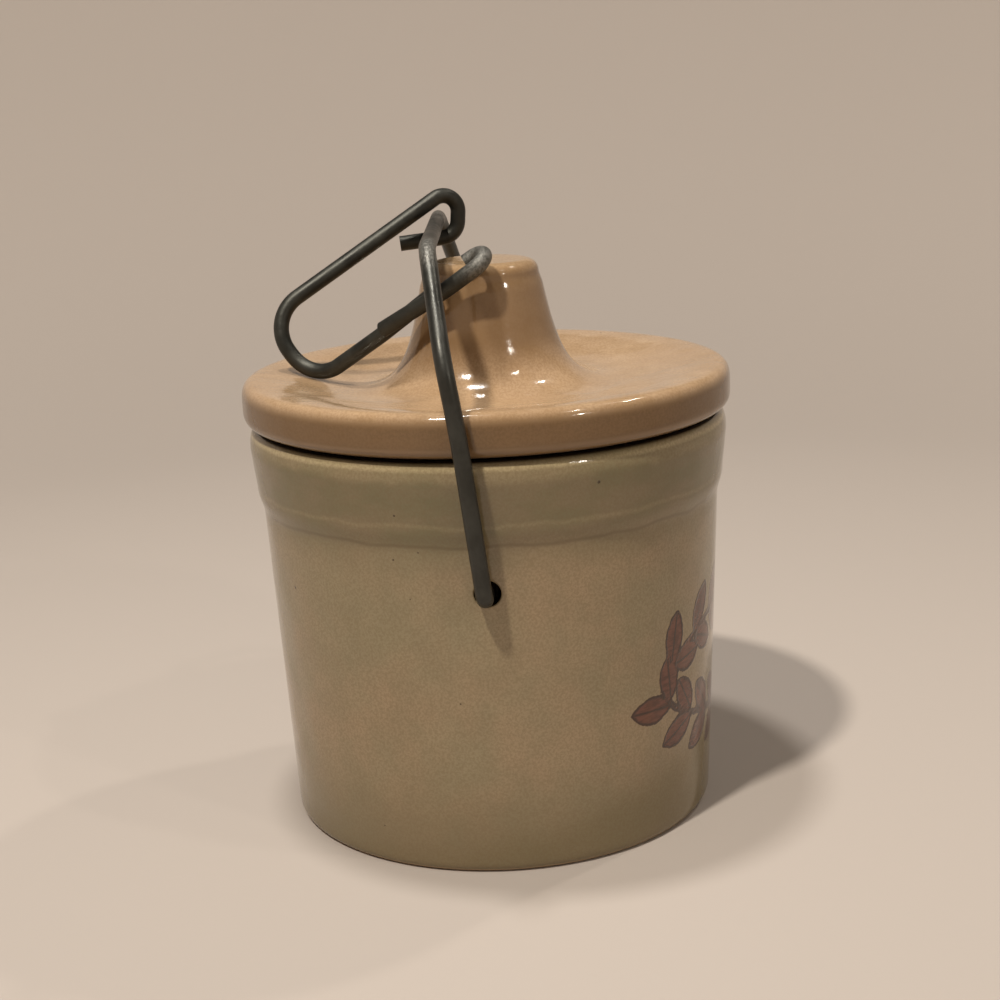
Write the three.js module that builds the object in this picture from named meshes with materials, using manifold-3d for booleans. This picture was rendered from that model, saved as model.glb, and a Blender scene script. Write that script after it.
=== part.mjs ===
// Stoneware cheese crock: a hollow crock, a lid with a bell-shaped knob, a wire bail that swings
// in two sockets, and a wire clamp that hooks over the bail's crossbar.
// Millimetres, +Z up. The origin is the centre of the base, and the bail swings about the X direction.
import * as THREE from 'three';
import { mergeVertices } from 'three/addons/utils/BufferGeometryUtils.js';
import Module from 'manifold-3d';

const wasm = await Module();
wasm.setup();

// Facets
const ROUND_SIDES = 64;
const WIRE_SIDES = 12;
const BEND_STEP_DEG = 15;

// Crock
const BASE_R = 53.2;
const BASE_ROUND = 2.4;
const SHOULDER_Z = 77.8;
const SHOULDER_R = 56.5;
const COLLAR_Z = 85.0;
const COLLAR_R = 57.9;
const COLLAR_TOP_Z = 94.5;
const COLLAR_TOP_R = 58.9;
const RIM_Z = 99.9;
const RIM_MID_R = 55.6;
const RIM_INNER_R = 51.2;
const BORE_TOP_R = 50.2;
const BORE_BASE_R = 47.0;
const FLOOR_Z = 7.0;
const FLOOR_ROUND = 7.0;
const SHOULDER_PULL = 3.0;
const LIP_ROUND = 1.6;
const LIP_DEPTH = 3.2;

// Sockets for the bail, blind holes in the wall
const SOCKET_R = 2.95;
const SOCKET_Z = 69.0;
const SOCKET_BOTTOM_X = 52.2;
const SOCKET_SIDES = 24;
const SOCKET_REACH = 12;

// Lid
const LID_SEAT_Z = 100.2;
const LID_SEAT_R = 56.2;
const LID_R = 60.0;
const LID_EDGE_LOW_Z = 103.6;
const LID_EDGE_HIGH_Z = 106.6;
const LID_CREST_R = 57.0;
const LID_CREST_Z = 110.6;
const LID_DISH_R = 31.5;
const LID_DISH_Z = 107.0;
const PLUG_R = 47.6;
const PLUG_LOW_Z = 97.0;
const PLUG_ROUND = 1.4;
const CREST_PULL = 9.0;
const DISH_PULL = 8.0;

// Knob
const KNOB_WAIST_R = 15.0;
const KNOB_WAIST_Z = 131.0;
const KNOB_EDGE_R = 14.2;
const KNOB_TOP_R = 10.0;
const KNOB_TOP_Z = 136.9;
const KNOB_EDGE_DROP = 3.4;
const FLARE_FOOT_PULL = 11.0;
const FLARE_WAIST_PULL = 15.0;
const FLARE_WAIST_SPREAD = 3.0;

// Wires
const WIRE_R = 1.93;
const PIVOT_Y = 0.45;
const PIVOT_Z = 68.5;
const PIN_END_X = 53.0;
const LEG_FOOT_X = 60.3;
const LEG_MID = { x: 64.0, y: 4.1, z: 105.0 };
const LEG_TURN = { x: 61.4, y: 7.0, z: 123.0 };
const BAR_END_X = 39.0;
const BAR_Z = 144.2;
const BAR_NEAR_Y = 10.4;
const BAR_FAR_Y = 11.7;
const PIN_BEND = 2.6;
const LEG_BEND = 60.0;
const TURN_BEND = 18.0;
const BAR_BEND = 9.0;

// Clamp, corners of its wire's route and the radii of its bends
const HOOK_END = [24.3, 21.1, 139.0];
const HOOK_UNDER = [25.8, 6.4, 140.3];
const HOOK_OVER = [25.8, 5.3, 154.1];
const HANDLE_TIP = [7.2, 54.5, 123.3];
const HANDLE_LOW = [3.6, 43.3, 107.2];
const STRAND_MID = [-6.0, 24.5, 120.3];
const STRAND_END = [-15.4, 10.7, 131.1];
const LAP_END = [-9.8, 23.8, 122.2];
const LAP_MID = [-18.8, 8.3, 131.8];
const FOOT_FRONT = [-20.8, -1.8, 138.8];
const FOOT_BACK = [-14.4, -1.2, 140.6];
const FOOT_END = [-14.3, 3.0, 137.9];
const HOOK_UNDER_BEND = 4.4;
const HOOK_OVER_BEND = 4.1;
const HANDLE_BEND = 9.8;
const STRAND_BEND = 30.0;
const FOOT_BEND = 3.1;

// Steps along the curves of the profiles
const FINE_STEPS = 5;
const COARSE_STEPS = 3;
const FLARE_STEPS = 11;
const MERGE_MM = 1e-5;

const GLAZE_GREEN = 0x857456;
const GLAZE_TAN = 0xb18e68;
const WIRE_GREY = 0x3a3935;

function solidFrom(geometry) {
  const bare = geometry.clone();
  bare.deleteAttribute('normal');
  bare.deleteAttribute('uv');
  const merged = mergeVertices(bare, MERGE_MM);
  const mesh = new wasm.Mesh({
    numProp: 3,
    vertProperties: new Float32Array(merged.attributes.position.array),
    triVerts: new Uint32Array(merged.index.array),
  });
  return new wasm.Manifold(mesh);
}

function geometryFrom(solid) {
  const mesh = solid.getMesh();
  const geometry = new THREE.BufferGeometry();
  geometry.setAttribute('position', new THREE.BufferAttribute(mesh.vertProperties, 3));
  geometry.setIndex(new THREE.BufferAttribute(mesh.triVerts, 1));
  geometry.computeVertexNormals();
  return geometry;
}

// Points of a quarter-round between two profile points, bulging towards the corner.
function rounded(from, corner, to, steps) {
  const curve = new THREE.QuadraticBezierCurve(from, corner, to);
  return curve.getPoints(steps);
}

function at(r, z) {
  return new THREE.Vector2(r, z);
}

// Turns a profile of radius and height about Z.
function turned(profile) {
  const geometry = new THREE.LatheGeometry(profile, ROUND_SIDES);
  geometry.rotateX(Math.PI / 2);
  return geometry;
}

function crockProfile() {
  const foot = rounded(at(BASE_R - BASE_ROUND, 0), at(BASE_R, 0), at(BASE_R, BASE_ROUND), FINE_STEPS);
  const shoulder = new THREE.CubicBezierCurve(
    at(SHOULDER_R, SHOULDER_Z),
    at(SHOULDER_R, SHOULDER_Z + SHOULDER_PULL),
    at(COLLAR_R, COLLAR_Z - SHOULDER_PULL),
    at(COLLAR_R, COLLAR_Z),
  ).getPoints(FINE_STEPS);
  const rim = rounded(
    at(COLLAR_TOP_R, COLLAR_TOP_Z),
    at(COLLAR_TOP_R, RIM_Z),
    at(RIM_MID_R, RIM_Z),
    FINE_STEPS,
  );
  const lip = rounded(
    at(RIM_INNER_R + LIP_ROUND, RIM_Z),
    at(RIM_INNER_R, RIM_Z),
    at(BORE_TOP_R, RIM_Z - LIP_DEPTH),
    COARSE_STEPS,
  );
  const floor = rounded(
    at(BORE_BASE_R, FLOOR_Z + FLOOR_ROUND),
    at(BORE_BASE_R, FLOOR_Z),
    at(BORE_BASE_R - FLOOR_ROUND, FLOOR_Z),
    FINE_STEPS,
  );
  return [at(0, 0), ...foot, ...shoulder, ...rim, ...lip, ...floor, at(0, FLOOR_Z)];
}

function socket(side) {
  const depth = BASE_R + SOCKET_REACH - SOCKET_BOTTOM_X;
  const hole = new THREE.CylinderGeometry(SOCKET_R, SOCKET_R, depth, SOCKET_SIDES);
  hole.rotateZ(Math.PI / 2);
  hole.translate(side * (SOCKET_BOTTOM_X + depth / 2), 0, SOCKET_Z);
  return hole;
}

function crockGeometry() {
  let body = solidFrom(turned(crockProfile()));
  for (const side of [-1, 1]) {
    body = body.subtract(solidFrom(socket(side)));
  }
  return geometryFrom(body);
}

// The lid from the axis out: its plug, its seat on the rim, its edge, and its dished top.
function lidProfile() {
  const plug = rounded(
    at(PLUG_R - PLUG_ROUND, PLUG_LOW_Z),
    at(PLUG_R, PLUG_LOW_Z),
    at(PLUG_R, PLUG_LOW_Z + PLUG_ROUND),
    COARSE_STEPS,
  );
  const seat = rounded(
    at(LID_SEAT_R, LID_SEAT_Z),
    at(LID_R, LID_SEAT_Z),
    at(LID_R, LID_EDGE_LOW_Z),
    FINE_STEPS,
  );
  const edge = rounded(
    at(LID_R, LID_EDGE_HIGH_Z),
    at(LID_R, LID_CREST_Z),
    at(LID_CREST_R, LID_CREST_Z),
    FINE_STEPS,
  );
  const dish = new THREE.CubicBezierCurve(
    at(LID_CREST_R, LID_CREST_Z),
    at(LID_CREST_R - CREST_PULL, LID_CREST_Z),
    at(LID_DISH_R + DISH_PULL, LID_DISH_Z),
    at(LID_DISH_R, LID_DISH_Z),
  ).getPoints(FINE_STEPS).slice(1);
  return [at(0, PLUG_LOW_Z), ...plug, at(PLUG_R, LID_SEAT_Z), ...seat, ...edge, ...dish];
}

function knobProfile() {
  const flare = new THREE.CubicBezierCurve(
    at(LID_DISH_R, LID_DISH_Z),
    at(LID_DISH_R - FLARE_FOOT_PULL, LID_DISH_Z),
    at(KNOB_WAIST_R + FLARE_WAIST_SPREAD, KNOB_WAIST_Z - FLARE_WAIST_PULL),
    at(KNOB_WAIST_R, KNOB_WAIST_Z),
  ).getPoints(FLARE_STEPS).slice(1);
  const top = rounded(
    at(KNOB_EDGE_R, KNOB_TOP_Z - KNOB_EDGE_DROP),
    at(KNOB_EDGE_R, KNOB_TOP_Z),
    at(KNOB_TOP_R, KNOB_TOP_Z),
    FINE_STEPS,
  );
  return [...flare, ...top, at(0, KNOB_TOP_Z)];
}

function lidGeometry() {
  return geometryFrom(solidFrom(turned([...lidProfile(), ...knobProfile()])));
}

// A wire's centre line: straight runs between corners, each corner turned on its own bend radius.
// Stations stand only at the ends of the runs and along the bends.
class WireLine extends THREE.Curve {
  constructor(corners, bends) {
    super();
    this.stations = [{ point: corners[0], tangent: corners[1].clone().sub(corners[0]).normalize() }];
    for (let i = 1; i < corners.length - 1; i += 1) {
      this.addBend(corners[i - 1], corners[i], corners[i + 1], bends[i - 1]);
    }
    const last = corners.length - 1;
    const tangent = corners[last].clone().sub(corners[last - 1]).normalize();
    this.stations.push({ point: corners[last], tangent });
  }

  addBend(before, corner, after, radius) {
    const into = corner.clone().sub(before).normalize();
    const away = after.clone().sub(corner).normalize();
    const turn = into.angleTo(away);
    const axis = into.clone().cross(away).normalize();
    const setback = radius * Math.tan(turn / 2);
    const start = corner.clone().addScaledVector(into, -setback);
    const inward = axis.clone().cross(into);
    const centre = start.clone().addScaledVector(inward, radius);
    const count = Math.max(2, Math.ceil(THREE.MathUtils.radToDeg(turn) / BEND_STEP_DEG));
    for (let k = 0; k <= count; k += 1) {
      const angle = turn * k / count;
      const arm = inward.clone().negate().applyAxisAngle(axis, angle);
      const point = centre.clone().addScaledVector(arm, radius);
      const tangent = into.clone().applyAxisAngle(axis, angle);
      this.stations.push({ point, tangent });
    }
  }

  station(u) {
    const last = this.stations.length - 1;
    return this.stations[Math.min(last, Math.round(u * last))];
  }

  getPoint(u, target = new THREE.Vector3()) {
    return target.copy(this.station(u).point);
  }

  getPointAt(u, target = new THREE.Vector3()) {
    return target.copy(this.station(u).point);
  }

  getTangentAt(u, target = new THREE.Vector3()) {
    return target.copy(this.station(u).tangent);
  }
}

function wire(corners, bends) {
  const line = new WireLine(corners, bends);
  const section = new THREE.Shape();
  for (let k = 0; k < WIRE_SIDES; k += 1) {
    const angle = 2 * Math.PI * k / WIRE_SIDES;
    const x = WIRE_R * Math.cos(angle);
    const y = WIRE_R * Math.sin(angle);
    if (k === 0) section.moveTo(x, y);
    else section.lineTo(x, y);
  }
  section.closePath();
  return new THREE.ExtrudeGeometry(section, { steps: line.stations.length - 1, extrudePath: line });
}

function spot(x, y, z) {
  return new THREE.Vector3(x, y, z);
}

// The bail: a pin in each socket, a leg up each side clear of the lid, and a crossbar over the knob.
// Both legs lean and bow a little to +Y, as the bail rests.
function bailGeometry() {
  const leg = (side, barY) => [
    spot(side * PIN_END_X, PIVOT_Y, PIVOT_Z),
    spot(side * LEG_FOOT_X, PIVOT_Y, PIVOT_Z),
    spot(side * LEG_MID.x, LEG_MID.y, LEG_MID.z),
    spot(side * LEG_TURN.x, LEG_TURN.y, LEG_TURN.z),
    spot(side * BAR_END_X, barY, BAR_Z),
  ];
  const bends = [PIN_BEND, LEG_BEND, TURN_BEND, BAR_BEND];
  const corners = [...leg(-1, BAR_NEAR_Y), ...leg(1, BAR_FAR_Y).reverse()];
  return geometryFrom(solidFrom(wire(corners, [...bends, ...bends.slice().reverse()])));
}

// The clamp: a hook round the crossbar with a short cut end, a long loop that is the handle,
// and a strand that carries on past the knob to the foot.
function clampGeometry() {
  const route = [HOOK_END, HOOK_UNDER, HOOK_OVER, HANDLE_TIP, HANDLE_LOW, STRAND_MID, STRAND_END];
  const turns = [HOOK_UNDER_BEND, HOOK_OVER_BEND, HANDLE_BEND, HANDLE_BEND, STRAND_BEND];
  const footRoute = [LAP_END, LAP_MID, FOOT_FRONT, FOOT_BACK, FOOT_END];
  const footTurns = [STRAND_BEND, FOOT_BEND, FOOT_BEND];
  const handle = wire(route.map((place) => spot(...place)), turns);
  const foot = wire(footRoute.map((place) => spot(...place)), footTurns);
  return geometryFrom(solidFrom(handle).add(solidFrom(foot)));
}

function glaze(color) {
  return new THREE.MeshStandardMaterial({ color, roughness: 0.3, metalness: 0 });
}

function steel() {
  return new THREE.MeshStandardMaterial({ color: WIRE_GREY, roughness: 0.45, metalness: 0.8 });
}

function named(name, geometry, material) {
  const mesh = new THREE.Mesh(geometry, material);
  mesh.name = name;
  return mesh;
}

const group = new THREE.Group();
group.add(named('crock', crockGeometry(), glaze(GLAZE_GREEN)));
group.add(named('lid', lidGeometry(), glaze(GLAZE_TAN)));
group.add(named('bail', bailGeometry(), steel()));
group.add(named('clamp', clampGeometry(), steel()));

export default group;
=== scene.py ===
# Glazed stoneware cheese crock: a crock with a printed front, a lid with a bell-shaped knob, and the
# steel wire bail and clamp that hold the lid down.
import math

import bmesh
import bpy
import numpy as np
from mathutils import Matrix, Vector


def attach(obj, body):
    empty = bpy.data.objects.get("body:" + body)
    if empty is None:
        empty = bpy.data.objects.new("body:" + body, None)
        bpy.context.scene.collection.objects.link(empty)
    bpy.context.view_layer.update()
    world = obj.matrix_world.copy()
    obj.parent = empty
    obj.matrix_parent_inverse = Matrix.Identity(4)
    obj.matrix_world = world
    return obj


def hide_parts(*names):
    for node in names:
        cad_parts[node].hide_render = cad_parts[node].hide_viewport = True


MM = 0.001

# Crock, in millimetres, as in the solid
BASE_R = 53.2
BASE_ROUND = 2.4
SHOULDER_Z = 77.8
SHOULDER_R = 56.5
COLLAR_Z = 85.0
COLLAR_R = 57.9
COLLAR_TOP_Z = 94.5
COLLAR_TOP_R = 58.9
RIM_Z = 99.9
RIM_MID_R = 55.6
RIM_INNER_R = 51.2
BORE_TOP_R = 50.2
BORE_BASE_R = 47.0
FLOOR_Z = 7.0
FLOOR_ROUND = 7.0
SHOULDER_PULL = 3.0
LIP_ROUND = 1.6
LIP_DEPTH = 3.2
FOOT_RING_R = 49.5
FOOT_RING_RUN = 1.5
FOOT_RING_PULLS = (0.8, 0.7)
FOOT_RECESS = 0.5

# Longest steps along the profiles in millimetres, and how many columns go round
WALL_ROW = 0.8
BORE_ROW = 3.0
BASE_ROW = 6.0
LID_ROW = 1.6
CROCK_COLUMNS = 400
LID_COLUMNS = 320

# Sockets for the bail's pins. The bottom's rings have a share of the radius and a depth.
SOCKET_R = 2.95
SOCKET_Z = 69.0
SOCKET_BOTTOM_X = 52.2
SOCKET_DEPTH = 3.4
SOCKET_BOTTOM_RINGS = ((1.0, 2.2), (0.97, 2.9), (0.8, 3.3), (0.4, 3.4))
SOCKET_MOUTH_R = 3.5
SOCKET_MOUTH_DEPTH = 0.9
FLAT_FROM_DEPTH = 2
SOCKET_BLOCK_COLUMNS = 7
APRON_RINGS = 5

# Lid, in millimetres
LID_SEAT_Z = 100.2
LID_SEAT_R = 56.2
LID_R = 60.0
LID_EDGE_LOW_Z = 103.6
LID_EDGE_HIGH_Z = 106.6
LID_CREST_R = 57.0
LID_CREST_Z = 110.6
LID_DISH_R = 31.5
LID_DISH_Z = 107.0
PLUG_R = 47.6
PLUG_LOW_Z = 97.0
PLUG_ROUND = 1.4
CREST_PULL = 9.0
DISH_PULL = 8.0
KNOB_WAIST_R = 15.0
KNOB_WAIST_Z = 131.0
KNOB_EDGE_R = 14.2
KNOB_TOP_R = 10.0
KNOB_TOP_Z = 136.9
KNOB_EDGE_DROP = 3.4
FLARE_FOOT_PULL = 11.0
FLARE_WAIST_PULL = 15.0
FLARE_WAIST_SPREAD = 3.0

# Wires, in millimetres
WIRE_R = 1.93
WIRE_SIDES = 40
PIVOT_Y = 0.45
PIVOT_Z = 68.5
PIN_END_X = 53.0
LEG_FOOT_X = 60.3
LEG_MID = (64.0, 4.1, 105.0)
LEG_TURN = (61.4, 7.0, 123.0)
BAR_END_X = 39.0
BAR_Z = 144.2
BAR_NEAR_Y = 10.4
BAR_FAR_Y = 11.7
BAIL_BENDS = (2.6, 60.0, 18.0, 9.0)
HOOK_END = (24.3, 21.1, 139.0)
HOOK_UNDER = (25.8, 6.4, 140.3)
HOOK_OVER = (25.8, 5.3, 154.1)
HOOK_REST_Y = 11.4
HANDLE_TIP = (7.2, 54.5, 123.3)
HANDLE_LOW = (3.6, 43.3, 107.2)
STRAND_MID = (-6.0, 24.5, 120.3)
STRAND_END = (-15.4, 10.7, 131.1)
HANDLE_BENDS = (4.4, 4.1, 9.8, 9.8, 30.0)
LAP_END = (-9.8, 23.8, 122.2)
LAP_MID = (-18.8, 8.3, 131.8)
FOOT_FRONT = (-20.8, -1.8, 138.8)
FOOT_BACK = (-14.4, -1.2, 140.6)
FOOT_END = (-14.3, 3.0, 137.9)
FOOT_BENDS = (30.0, 3.1, 3.1)
BEND_STEP_DEG = 4.0
CUT_EDGE = ((0.0, 0.84), (0.12, 0.93), (0.35, 1.0))

# The printed wreath on the front: along the wall from its middle, and up the wall, in millimetres
PRINT_MIDDLE_Z = 38.5
WREATH_HALF_WIDTH = 41.0
WREATH_HALF_HEIGHT = 14.0
BRANCH_SPAN = (0.07, 0.80)
LEAF_PAIRS = 7
LEAF_LENGTH = 14.0
LEAF_WIDTH = 7.2
LEAF_LEAN_DEG = 38
OUTER_LEAF_SHORTER = 0.12
STEM_HALF = 0.9
PETALS = 6
PETAL_LENGTH = 8.0
PETAL_WIDTH = 5.0
PETAL_REACH = 6.0
CENTRE_R = 2.2
PRINT_LOW_Z = 3
FAR_OFF = 99.0

# Finishes: the heights in millimetres where tones change, and the shaders' values
# Heights where the collar's pooled glaze and the painted shade under the lid begin and are full
POOL_AND_SHADE_Z = (70, 86)
# Heights over which the painted shade near the foot fades out
FOOT_SHADE_Z = (3, 30)
PALE_Z = (94.0, 96.4)
# Heights of the painted highlight lines on the rim's rounding and at the collar's foot
RIM_HIGHLIGHT_Z = 98.0
COLLAR_HIGHLIGHT_Z = COLLAR_Z - 0.2
SHOULDER_LINE_Z = SHOULDER_Z + 2.2
BARE_FOOT_Z = (0.5, 1.0)
# Heights where the crock's rim under the lid's edge is painted dark as the shade in the seam
SHADED_RIM_Z = (98.9, 99.5)
# Heights where the lid's seat is bare clay, painted dark as the shade in the seam
BARE_SHADED_SEAT_Z = (LID_SEAT_Z + 0.15, LID_SEAT_Z + 0.6)
KNOB_TONE_Z = (110.5, 120)
KNOB_TOP_TONE_Z = (133.5, 136.3)
GRAIN_MM = 0.6
GLAZE_IOR = 1.52
CLAY_ROUGHNESS = 0.75
WIRE_BAND_MM = 6
WIRE_METALLIC = 0.75

# Camera, from the photograph: place round the crock, height and aim
CAMERA_DISTANCE = 0.432
CAMERA_HEIGHT = 0.18564
CAMERA_TURN_DEG = 1.9
CAMERA_PITCH = 0.248
CAMERA_YAW = 0.005
CAMERA_ROLL = -0.046
FOCAL_PER_WIDTH = 1.769
SENSOR_MM = 36.0
CLIP_START = 0.01

# Studio, in metres and watts: each lamp's name, place, width, power and tint
LAMP_AIM = (0, 0, 0.08)
LAMPS = (
    ("key_lamp", (-0.56, 0.33, 1.20), 0.075, 14, "#fff6ea"),
    ("ceiling_lamp", (-0.02, 0.075, 0.75), 0.07, 2.6, "#fffaf4"),
    ("right_lamp", (-0.40, -0.64, 1.15), 0.05, 1.2, "#fff6ea"),
    ("rear_lamp", (0.42, -0.61, 1.15), 0.06, 2.6, "#fff6ea"),
    ("low_lamp", (-0.815, -0.874, 0.69), 0.07, 1.4, "#fff6ea"),
)
ROOM_TINT = "#cfc4ba"
ROOM_STRENGTH = 0.14
SWEEP_TINT = "#b1a8a0"
SWEEP_ROUGHNESS = 0.9

# The sweep's floor and wall, in millimetres
SWEEP_FLAT_R = 430
SWEEP_WALL_R = 800
SWEEP_TOP_Z = 420
SWEEP_COLUMNS = 96


def linear(code):
    """An sRGB hex colour as linear red, green, blue and alpha."""
    parts = [int(code[i:i + 2], 16) / 255 for i in (1, 3, 5)]
    curve = [c / 12.92 if c <= 0.04045 else ((c + 0.055) / 1.055) ** 2.4 for c in parts]
    return (*curve, 1.0)


def add(tree, kind, ins=None, **settings):
    """Adds a node. ins maps an input to a value, to a hex colour or to the output that feeds it."""
    new = tree.nodes.new(kind)
    for name, value in settings.items():
        setattr(new, name, value)
    for key, value in (ins or {}).items():
        if isinstance(value, bpy.types.NodeSocket):
            tree.links.new(value, new.inputs[key])
        elif isinstance(value, str) and value.startswith("#"):
            new.inputs[key].default_value = linear(value)
        else:
            new.inputs[key].default_value = value
    return new


# Camera, light and floor

def photo_camera():
    """The camera stands at -X and looks along +X, a little down."""
    pitch, yaw, roll = CAMERA_PITCH, CAMERA_YAW, CAMERA_ROLL
    ahead = math.cos(pitch)
    forward = Vector((math.sin(yaw) * ahead, math.cos(yaw) * ahead, -math.sin(pitch)))
    level = Vector((math.cos(yaw), -math.sin(yaw), 0))
    steep = level.cross(forward)
    right = math.cos(roll) * level + math.sin(roll) * steep
    up = math.cos(roll) * steep - math.sin(roll) * level
    turn = Matrix.Rotation(math.radians(CAMERA_TURN_DEG) - math.pi / 2, 3, "Z")
    aim = turn @ Matrix((right, up, -forward)).transposed()
    data = bpy.data.cameras.new("photo_camera")
    data.sensor_width = SENSOR_MM
    data.lens = SENSOR_MM * FOCAL_PER_WIDTH
    data.clip_start = CLIP_START
    camera = bpy.data.objects.new("photo_camera", data)
    place = turn @ Vector((0, -CAMERA_DISTANCE, 0)) + Vector((0, 0, CAMERA_HEIGHT))
    camera.matrix_world = Matrix.Translation(place) @ aim.to_4x4()
    bpy.context.collection.objects.link(camera)
    bpy.context.scene.camera = camera


def lamp(name, place, size, watts, tint):
    """A round area lamp that points at the object's middle."""
    data = bpy.data.lights.new(name, "AREA")
    data.shape = "DISK"
    data.size = size
    data.energy = watts
    data.color = linear(tint)[:3]
    light = bpy.data.objects.new(name, data)
    way = Vector(LAMP_AIM) - Vector(place)
    turn = way.to_track_quat("-Z", "Y").to_matrix().to_4x4()
    light.matrix_world = Matrix.Translation(place) @ turn
    bpy.context.collection.objects.link(light)


def studio():
    """Soft lamps placed as the photo's highlights and shadows say, and a dim room round them."""
    for settings in LAMPS:
        lamp(*settings)
    world = bpy.data.worlds.new("studio")
    world.use_nodes = True
    background = world.node_tree.nodes["Background"]
    background.inputs["Color"].default_value = linear(ROOM_TINT)
    background.inputs["Strength"].default_value = ROOM_STRENGTH
    bpy.context.scene.world = world
    bpy.context.scene.view_settings.view_transform = "Standard"


def sweep(tree):
    """A plain pale floor that curves up into a wall all round."""
    paint = bpy.data.materials.new("pale_sweep_paint")
    paint.use_nodes = True
    shader = paint.node_tree.nodes["Principled BSDF"]
    shader.inputs["Base Color"].default_value = linear(SWEEP_TINT)
    shader.inputs["Roughness"].default_value = SWEEP_ROUGHNESS
    cove = bezier([(SWEEP_FLAT_R, 0), (SWEEP_WALL_R, 0), (SWEEP_WALL_R, SWEEP_TOP_Z)], 32)
    backdrop = turned("pale_sweep", [(0, 0)] + cove, SWEEP_COLUMNS, paint, tree)


# Curves of the profiles, as lists of (radius, height) in millimetres

def bezier(corners, steps):
    """Points on a quadratic or cubic Bezier curve through its control points."""
    order = len(corners) - 1
    points = []
    for k in range(steps + 1):
        t = k / steps
        weights = [math.comb(order, i) * t ** i * (1 - t) ** (order - i) for i in range(order + 1)]
        r = sum(w * c[0] for w, c in zip(weights, corners))
        z = sum(w * c[1] for w, c in zip(weights, corners))
        points.append((r, z))
    return points


def straight(a, b, step):
    """Points from a to b, both left out, no further apart than step."""
    count = max(1, math.ceil(math.dist(a, b) / step))
    points = []
    for k in range(1, count):
        points.append((a[0] + (b[0] - a[0]) * k / count, a[1] + (b[1] - a[1]) * k / count))
    return points


def joined(*runs, step):
    """Joins runs of points into one profile, with straight stretches between them."""
    profile = []
    for run in runs:
        if profile and math.dist(profile[-1], run[0]) > 1e-6:
            profile += straight(profile[-1], run[0], step)
            profile += run
        else:
            profile += run[1:] if profile else run
    return profile


def crock_profile():
    """From the middle of the base, up the outside, over the rim and down the bore to the floor."""
    ring_start = (FOOT_RING_R - FOOT_RING_RUN, FOOT_RECESS)
    base = [(0, FOOT_RECESS), ring_start]
    ring = bezier([ring_start, (FOOT_RING_R - FOOT_RING_PULLS[0], FOOT_RECESS),
                   (FOOT_RING_R - FOOT_RING_PULLS[1], 0), (FOOT_RING_R, 0)], 4)
    foot = bezier([(BASE_R - BASE_ROUND, 0), (BASE_R, 0), (BASE_R, BASE_ROUND)], 8)
    shoulder = bezier([(SHOULDER_R, SHOULDER_Z), (SHOULDER_R, SHOULDER_Z + SHOULDER_PULL),
                       (COLLAR_R, COLLAR_Z - SHOULDER_PULL), (COLLAR_R, COLLAR_Z)], 9)
    rim = bezier([(COLLAR_TOP_R, COLLAR_TOP_Z), (COLLAR_TOP_R, RIM_Z), (RIM_MID_R, RIM_Z)], 12)
    lip = bezier([(RIM_INNER_R + LIP_ROUND, RIM_Z), (RIM_INNER_R, RIM_Z),
                  (BORE_TOP_R, RIM_Z - LIP_DEPTH)], 7)
    corner = bezier([(BORE_BASE_R, FLOOR_Z + FLOOR_ROUND), (BORE_BASE_R, FLOOR_Z),
                     (BORE_BASE_R - FLOOR_ROUND, FLOOR_Z)], 8)
    outside = joined(foot, shoulder, rim, lip, step=WALL_ROW)
    inside = joined(outside[-1:], corner, [(0, FLOOR_Z)], step=BORE_ROW)
    return joined(base, ring, outside[:1], step=BASE_ROW) + outside[1:] + inside[1:]


def wall_radius(z):
    """The crock's outer radius on the plain wall below the shoulder."""
    share = (z - BASE_ROUND) / (SHOULDER_Z - BASE_ROUND)
    return BASE_R + (SHOULDER_R - BASE_R) * share


def lid_profile():
    """From the middle of the plug, out under the seat, round the edge, over the dish and up the knob."""
    plug = bezier([(PLUG_R - PLUG_ROUND, PLUG_LOW_Z), (PLUG_R, PLUG_LOW_Z),
                   (PLUG_R, PLUG_LOW_Z + PLUG_ROUND)], 5)
    seat = bezier([(LID_SEAT_R, LID_SEAT_Z), (LID_R, LID_SEAT_Z), (LID_R, LID_EDGE_LOW_Z)], 10)
    edge = bezier([(LID_R, LID_EDGE_HIGH_Z), (LID_R, LID_CREST_Z), (LID_CREST_R, LID_CREST_Z)], 12)
    dish = bezier([(LID_CREST_R, LID_CREST_Z), (LID_CREST_R - CREST_PULL, LID_CREST_Z),
                   (LID_DISH_R + DISH_PULL, LID_DISH_Z), (LID_DISH_R, LID_DISH_Z)], 30)
    flare = bezier([(LID_DISH_R, LID_DISH_Z), (LID_DISH_R - FLARE_FOOT_PULL, LID_DISH_Z),
                    (KNOB_WAIST_R + FLARE_WAIST_SPREAD, KNOB_WAIST_Z - FLARE_WAIST_PULL),
                    (KNOB_WAIST_R, KNOB_WAIST_Z)], 44)
    top = bezier([(KNOB_EDGE_R, KNOB_TOP_Z - KNOB_EDGE_DROP), (KNOB_EDGE_R, KNOB_TOP_Z),
                  (KNOB_TOP_R, KNOB_TOP_Z)], 10)
    return joined([(0, PLUG_LOW_Z)], plug, [(PLUG_R, LID_SEAT_Z)], seat, edge, dish, flare, top,
                  [(0, KNOB_TOP_Z)], step=LID_ROW)


# Turning a profile, and running a round wire along a route, with Geometry Nodes

def new_tree(name, *inputs):
    tree = bpy.data.node_groups.new(name, "GeometryNodeTree")
    tree.interface.new_socket("Geometry", in_out="INPUT", socket_type="NodeSocketGeometry")
    for label, kind in inputs:
        tree.interface.new_socket(label, in_out="INPUT", socket_type=kind)
    tree.interface.new_socket("Geometry", in_out="OUTPUT", socket_type="NodeSocketGeometry")
    return tree


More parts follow.
